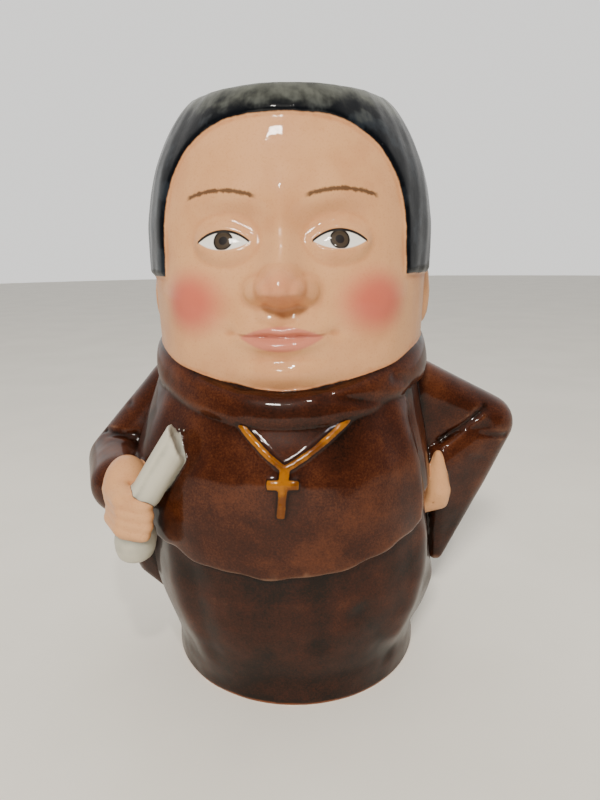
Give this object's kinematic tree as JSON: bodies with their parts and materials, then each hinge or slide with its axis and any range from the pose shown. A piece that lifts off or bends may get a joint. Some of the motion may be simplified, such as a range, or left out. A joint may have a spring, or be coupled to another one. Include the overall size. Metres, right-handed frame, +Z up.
{
  "type": "toby jug",
  "caption": "Hollow glazed jug in the form of a standing monk with bowl-cut hair, open at the top, with a rolled parchment in one hand and a loop handle behind.",
  "frame": {"origin": "centre of the round foot, on the surface that the jug stands on", "axes": "+Z up along the jug, the figure faces -Y and the handle is at +Y"},
  "size_m": [0.1312, 0.1184, 0.16],
  "materials": {
    "brown_glaze": "clear gloss glaze over brown painted earthenware"
  },
  "bodies": {
    "root": {"toby_jug": "brown_glaze"}
  },
  "joints": []
}
